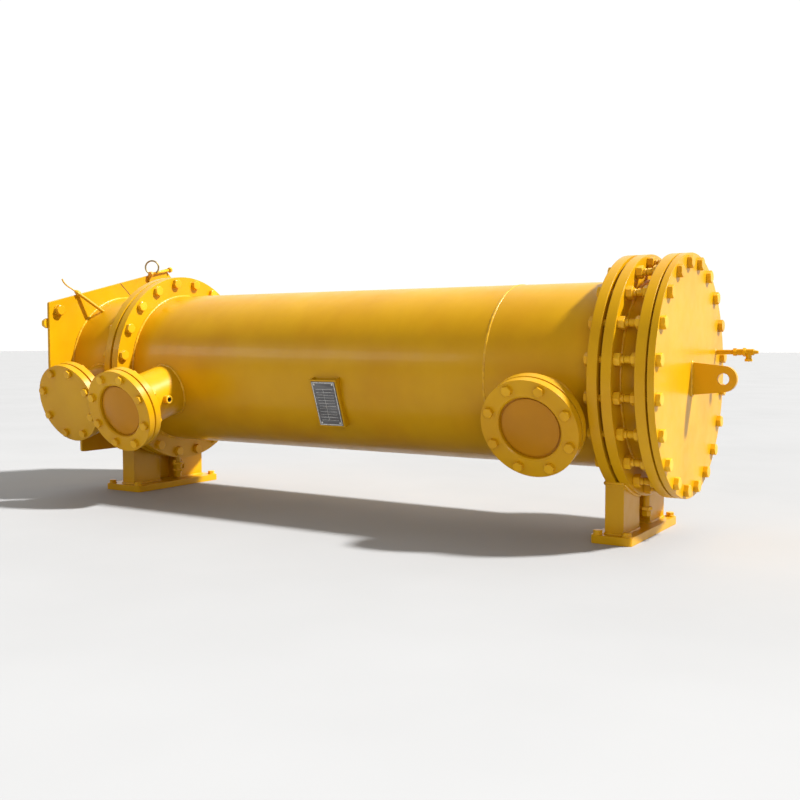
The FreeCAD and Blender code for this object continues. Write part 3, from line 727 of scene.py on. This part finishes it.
def air_tube_end():
    """The upper end of the slanting air tube, and the tube's direction, from its box."""
    low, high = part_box("air_tube")
    size = high - low
    direction = size.normalized()
    for _ in range(BOX_FIT_ROUNDS):
        run = [size[i] - 2 * AIR_TUBE_R * math.sqrt(1 - direction[i] ** 2) for i in range(3)]
        direction = Vector(run).normalized()
    inset = [AIR_TUBE_R * math.sqrt(1 - direction[i] ** 2) for i in range(3)]
    end = Vector((low.x + inset[0], low.y + inset[1], high.z - inset[2]))
    return end, Vector((-direction.x, -direction.y, direction.z))


def air_tube_tail():
    """Collar on the air tube, and the thin bent tube that leads on from it."""
    pieces = Pieces()
    end, out = air_tube_end()
    collar = hexagon(AIR_COLLAR_HEX, AIR_COLLAR_LENGTH, both_ends=True)
    pieces.add(collar, along(end - out * AIR_COLLAR_BACK, out, spin=0.4))
    pieces.add(lathe(AIR_CONE), along(end - out * AIR_CONE_BACK, out))
    knots = [end + out * reach + UP * rise for reach, rise in AIR_TAIL_KNOTS]
    path = smooth_path(knots, AIR_TAIL_STEPS)
    tail = sweep(path, [RIGHT] * len(path), [AIR_TAIL_R] * len(path), closed=False)
    pieces.add(tail, Matrix.Identity(4))
    pieces.make("air_tube_tail", bolt_paint_painted_lighter)


def tab_pin():
    """The pin across the small tab's top, with a nut at each end."""
    pieces = Pieces()
    low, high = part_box("end_plate_tab")
    x = high.x + TAB_PIN_FROM_FACE
    start = Vector((x, low.y + TAB_PIN_START[0], high.z - TAB_PIN_START[1]))
    end = Vector((x, high.y + TAB_PIN_END[0], high.z - TAB_PIN_END[1]))
    out = (end - start).normalized()
    nut = hexagon(TAB_PIN_NUT_HEX, TAB_PIN_NUT_HEIGHT, both_ends=True)
    pieces.add(rod(TAB_PIN_D, (end - start).length), along(start, out))
    pieces.add(nut, along(end, out, spin=0.2))
    pieces.add(nut, along(start, -out, spin=0.5))
    pieces.add(thread(TAB_PIN_D, TAB_PIN_TIP), along(end + out * TAB_PIN_NUT_HEIGHT, out))
    pieces.make("tab_pin", bolt_paint_painted_lighter)


# ------------------------------------------------------------------------- welding

def girth_welds():
    """Fillets where flanges and the end plate meet the barrels, and the shell's seam."""
    pieces = Pieces()
    roots = [("left_shell_flange", 1), ("right_shell_flange", 0), ("left_channel_flange", 0),
             ("end_plate", 1), ("right_channel_inner_flange", 1), ("right_channel_outer_flange", 0)]
    beads = [(face(node, side), SHELL_R, GIRTH_WELD_LEG) for node, side in roots]
    seam_r = SHELL_R + SEAM_PROUD - SEAM_WIDTH_R * BEAD_SHARE
    beads.append((face("shell", 1) - SEAM_FROM_SHELL_END, seam_r, SEAM_WIDTH_R))
    for x, radius, leg in beads:
        count = steps_round(radius, RING_BEAD_STEP)
        points, normals = circle_points(on_axis(x), radius, BACK, UP, count)
        add_bead(pieces, points, leg, normals)
    pieces.make("girth_welds", bead_paint)


def nozzle_welds():
    """Beads round each neck, at the shell and behind the first flange."""
    pieces = Pieces()
    for outer_node, inner_node in NOZZLES.values():
        centre, out, across = nozzle_frame(outer_node)
        points = saddle_points(centre, out, across, NOZZLE_PIPE_R)
        add_bead(pieces, points, SADDLE_WELD_LEG, [out] * len(points))
        root = middle(inner_node) - out * NOZZLE_FLANGE_THICKNESS / 2
        points, _ = circle_points(root, NOZZLE_PIPE_R, RIGHT, across, NECK_WELD_STEPS)
        add_bead(pieces, points, NECK_WELD_LEG, [out] * NECK_WELD_STEPS)
    pieces.make("nozzle_welds", bead_paint)


def leg_welds(pieces, leg, base_top, seat_r):
    """Beads round a leg's foot, and on the four sides of its seat."""

    def seat(x, y):
        return Vector((x, y, AXIS_Z - math.sqrt(seat_r ** 2 - y ** 2)))

    low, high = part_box(leg)
    foot = loop_points([Vector((low.x, low.y, base_top)), Vector((high.x, low.y, base_top)),
                        Vector((high.x, high.y, base_top)), Vector((low.x, high.y, base_top))])
    add_bead(pieces, foot, SUPPORT_WELD_LEG, [UP] * len(foot))
    depth = high.y - low.y
    sides = [[seat(x, low.y + depth * i / SEAT_WELD_STEPS) for i in range(SEAT_WELD_STEPS + 1)]
             for x in (low.x, high.x)]
    sides += [line_points(seat(low.x, y), seat(high.x, y)) for y in (low.y, high.y)]
    for points in sides:
        add_bead(pieces, points, SUPPORT_WELD_LEG, [UP] * len(points), closed=False)


def support_welds():
    """Beads on both supports: the left one seats on the shell, the right one on a flange."""
    pieces = Pieces()
    for support, seat_r in (("left", SHELL_R), ("right", FLANGE_R)):
        base_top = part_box(f"{support}_base_plate")[1].z
        for leg in (f"{support}_front_leg", f"{support}_rear_leg"):
            leg_welds(pieces, leg, base_top, seat_r)
    pieces.make("support_welds", bead_paint)


def cover_welds():
    """Beads round the lug's root and the vent pipe's root on the cover."""
    pieces = Pieces()
    x = face("cover_plate", 1)
    low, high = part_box("cover_lug")
    points = loop_points([Vector((x, low.y, low.z)), Vector((x, high.y, low.z)),
                          Vector((x, high.y, high.z)), Vector((x, low.y, high.z))])
    add_bead(pieces, points, LUG_WELD_LEG, [RIGHT] * len(points))
    vent = middle("vent_pipe")
    root = Vector((x, vent.y, vent.z))
    points, _ = circle_points(root, half_height("vent_pipe"), BACK, UP, VENT_WELD_STEPS)
    add_bead(pieces, points, VENT_WELD_LEG, [RIGHT] * VENT_WELD_STEPS)
    pieces.make("cover_welds", bead_paint)


# ----------------------------------------------------------------- small fittings

def vent_fittings():
    """Hexagons and a bleed screw on the small vent valve."""
    pieces = Pieces()
    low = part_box("vent_valve")[0]
    pipe = middle("vent_pipe")
    start = Vector((low.x, pipe.y, pipe.z))
    screw_at = Vector((start.x + BLEED_SCREW_AT, pipe.y, low.z + BLEED_SCREW_SINK))
    pieces.add(hexagon(VENT_FIRST_HEX, VENT_FIRST_LENGTH, both_ends=True),
               along(start - RIGHT * VENT_FIRST_BACK, RIGHT, spin=0.3))
    pieces.add(hexagon(VENT_SECOND_HEX, VENT_SECOND_LENGTH, both_ends=True),
               along(start + RIGHT * VENT_SECOND_AT, RIGHT, spin=0.1))
    pieces.add(lathe(BLEED_SCREW), along(screw_at, -UP))
    pieces.make("vent_fittings", bolt_paint_painted_lighter)


def socket_mouth():
    centre = middle("threaded_socket")
    return Vector((face("threaded_socket", 1), centre.y, centre.z))


def socket_thread_and_painted_shade():
    """Thread ridges of bare dark steel in the small socket, and a dark closed bottom to its hole:
    painted shade for the deeper hole.
    """
    pieces = Pieces()
    profile = [(SOCKET_THREAD_ROOT_R, 0)]
    for turn in range(SOCKET_THREAD_TURNS):
        profile.append((SOCKET_THREAD_CREST_R, -SOCKET_THREAD_PITCH * (turn + 0.5)))
        profile.append((SOCKET_THREAD_ROOT_R, -SOCKET_THREAD_PITCH * (turn + 1)))
    # The closed start at the bottom is a dark disc: painted shade where the hole would run on into the
    # neck.
    ridges = lathe(profile[::-1], SOCKET_STEPS, smooth=False, close_end=False)
    pieces.add(ridges, along(socket_mouth(), RIGHT))
    pieces.make("socket_thread_and_painted_shade", dark_steel)


def socket_rim():
    """The turned rim round the socket's mouth."""
    pieces = Pieces()
    rim = lathe(SOCKET_RIM, SOCKET_STEPS, close_start=False, close_end=False)
    pieces.add(rim, along(socket_mouth(), RIGHT))
    pieces.make("socket_rim", bolt_paint_painted_lighter)


def nameplate_details():
    """Raised border, four rivets and blank ruled lines on the bare nameplate."""
    pieces = Pieces()
    centre, out, up = nozzle_frame("nameplate")
    up = -up if up.z < 0 else up
    low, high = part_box("nameplate")
    half_width = (high.x - low.x) / 2
    front = centre + out * PLATE_HALF_THICKNESS
    for direction, reach, cross, half in ((RIGHT, half_width, up, PLATE_HALF_HEIGHT),
                                          (up, PLATE_HALF_HEIGHT, RIGHT, half_width)):
        border = bar(2 * (reach - BORDER_FROM_EDGE), BORDER_WIDTH, BORDER_HEIGHT)
        for side in (-1, 1):
            offset = cross * side * (half - BORDER_FROM_EDGE) - direction * (reach - BORDER_FROM_EDGE)
            pieces.add(border, axes_at(front + offset, direction, cross, out))
    for side in (-1, 1):
        for level in (-1, 1):
            offset = (RIGHT * side * (half_width - RIVET_FROM_EDGE)
                      + up * level * (PLATE_HALF_HEIGHT - RIVET_FROM_EDGE))
            pieces.add(lathe(RIVET, RIVET_STEPS), along(front + offset, out))
    rule = bar(RULE_LENGTH, RULE_WIDTH, RULE_HEIGHT)
    for row in range(RULE_COUNT):
        level = RULE_FIRST + (RULE_LAST - RULE_FIRST) * row / (RULE_COUNT - 1)
        start = front + up * level - RIGHT * RULE_LENGTH / 2
        pieces.add(rule, axes_at(start, RIGHT, up, out))
    column = bar(RULE_FIRST - RULE_LAST, RULE_WIDTH, RULE_HEIGHT)
    start = front + up * RULE_LAST - RIGHT * RULE_COLUMN_LEFT
    pieces.add(column, axes_at(start, up, RIGHT, out))
    pieces.make("nameplate_border", rim_metal)


def drain_details():
    """Union nuts on the drains and a short lever on the left drain's valve."""
    pieces = Pieces()
    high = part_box("left_drain_valve")[1]
    centre = middle("left_drain_valve")
    top = Vector((centre.x, centre.y, high.z))
    pieces.add(lathe(VALVE_CAP), along(top - UP * VALVE_CAP_DROP, -UP))
    for side in (-1, 1):
        ear = top + BACK * side * VALVE_EAR_OFFSET - UP * VALVE_EAR_DROP
        pieces.add(hexagon(VALVE_EAR_HEX, VALVE_EAR_LENGTH, both_ends=True),
                   along(ear, UP, spin=0.3))
    pieces.add(hexagon(VALVE_NUT_HEX, VALVE_NUT_HEIGHT, both_ends=True),
               along(top - UP * VALVE_NUT_DROP, -UP, spin=0.2))
    lever = Vector((centre.x, high.y - LEVER_SINK, high.z - LEVER_DROP))
    pieces.add(rod(LEVER_D, LEVER_LENGTH), along(lever, BACK))
    pieces.add(hexagon(LEVER_NUT_HEX, LEVER_NUT_HEIGHT, both_ends=True),
               along(lever + BACK * LEVER_NUT_AT, BACK))
    spout = Vector((high.x - VALVE_SPOUT_SINK, centre.y, high.z - VALVE_SPOUT_DROP))
    pieces.add(rod(VALVE_SPOUT_D, VALVE_SPOUT_LENGTH), along(spout, RIGHT))
    pipe = middle("right_drain_pipe")
    pipe.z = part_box("right_drain_pipe")[0].z + DRAIN_NUT_RISE
    pieces.add(hexagon(DRAIN_NUT_HEX, DRAIN_NUT_HEIGHT, both_ends=True),
               along(pipe, -UP, spin=0.3))
    pieces.make("drain_details", bolt_paint_painted_lighter)


# ------------------------------------------------------------------ floor and light

def make_floor():
    size = FLOOR_HALF_SIZE
    mesh = bpy.data.meshes.new("floor")
    corners = [(-size, -size, 0), (size, -size, 0), (size, size, 0), (-size, size, 0)]
    mesh.from_pydata(corners, [], [(0, 1, 2, 3)])
    mesh.materials.append(floor_material())
    floor = bpy.data.objects.new("floor", mesh)
    bpy.context.scene.collection.objects.link(floor)


def make_world():
    """Soft studio surroundings: brighter behind the object than in front of it."""
    world = bpy.data.worlds.new("studio")
    world.use_nodes = True
    bpy.context.scene.world = world
    tree = world.node_tree
    background = tree.nodes["Background"]
    place = tree.nodes.new("ShaderNodeTexCoord")
    dot = tree.nodes.new("ShaderNodeVectorMath")
    dot.operation = "DOT_PRODUCT"
    dot.inputs[1].default_value = Vector(WORLD_BRIGHT_SIDE).normalized()
    ramp = tree.nodes.new("ShaderNodeMapRange")
    ramp.interpolation_type = "SMOOTHSTEP"
    ramp.inputs["From Min"].default_value = WORLD_TURN_START
    ramp.inputs["From Max"].default_value = WORLD_TURN_END
    ramp.inputs["To Min"].default_value = WORLD_FRONT
    ramp.inputs["To Max"].default_value = WORLD_BACK
    tree.links.new(place.outputs["Generated"], dot.inputs[0])
    tree.links.new(dot.outputs["Value"], ramp.inputs["Value"])
    tree.links.new(ramp.outputs["Result"], background.inputs["Strength"])
    background.inputs["Color"].default_value = WORLD_COLOUR


def area_light(name, place, target, size, power):
    light = bpy.data.lights.new(name, "AREA")
    light.shape = "RECTANGLE"
    light.size, light.size_y = size
    light.energy = power
    made = bpy.data.objects.new(name, light)
    made.location = place
    made.rotation_euler = (Vector(target) - Vector(place)).to_track_quat("-Z", "Y").to_euler()
    bpy.context.scene.collection.objects.link(made)


def key_light():
    """A broad distant light; KEY_TOWARDS points from the object to it."""
    light = bpy.data.lights.new("key", "SUN")
    light.energy = KEY_STRENGTH
    light.angle = KEY_SOFTNESS
    made = bpy.data.objects.new("key", light)
    made.rotation_euler = Vector(KEY_TOWARDS).to_track_quat("Z", "Y").to_euler()
    bpy.context.scene.collection.objects.link(made)


def make_camera():
    """The camera stands low in front of the right end and looks slightly down."""
    camera = bpy.data.cameras.new("camera")
    camera.sensor_width = CAMERA_SENSOR
    camera.lens = CAMERA_LENS
    made = bpy.data.objects.new("camera", camera)
    made.location = CAMERA_PLACE
    level = math.cos(CAMERA_PITCH)
    forward = Vector((-math.sin(CAMERA_TURN) * level, math.cos(CAMERA_TURN) * level,
                      -math.sin(CAMERA_PITCH)))
    made.rotation_euler = forward.to_track_quat("-Z", "Y").to_euler()
    bpy.context.scene.collection.objects.link(made)
    bpy.context.scene.camera = made


# --------------------------------------------------------------------- the assembly

dress_frame()
girth_bolts("left_joint_bolts", face("left_shell_flange", 1), face("left_channel_flange", 0),
            GIRTH_BOLT, spins=(0.7, 0.4))
girth_bolts("right_joint_bolts", face("right_shell_flange", 0), face("right_channel_inner_flange", 1),
            GIRTH_BOLT, spins=(0.9, 0.5))
girth_bolts("cover_bolts", face("cover_plate", 1), face("right_channel_outer_flange", 0),
            COVER_BOLT, spins=(1.1, 0.2))
for bolts, (outer_flange, inner_flange) in NOZZLES.items():
    nozzle_bolts(bolts, outer_flange, inner_flange)
anchor_bolts("left_anchor_bolts", "left_base_plate", LEFT_ANCHOR_SPACING_X)
anchor_bolts("right_anchor_bolts", "right_base_plate", RIGHT_ANCHOR_SPACING_X)
end_plate_bolts()
end_plate_dark_line()
air_tube_tail()
tab_pin()
girth_welds()
nozzle_welds()
support_welds()
cover_welds()
vent_fittings()
socket_thread_and_painted_shade()
socket_rim()
nameplate_details()
drain_details()

make_floor()
make_world()
key_light()
area_light("front_strip", place=(-2.0, -3.6, 2.0), target=(0.9, 0.0, AXIS_Z), size=(2.6, 0.8), power=28)
area_light("right_fill", place=(3.1, -2.7, 1.1), target=(1.8, 0.0, 0.4), size=(1.0, 0.8), power=15)
make_camera()
bpy.context.scene.view_settings.view_transform = "Standard"
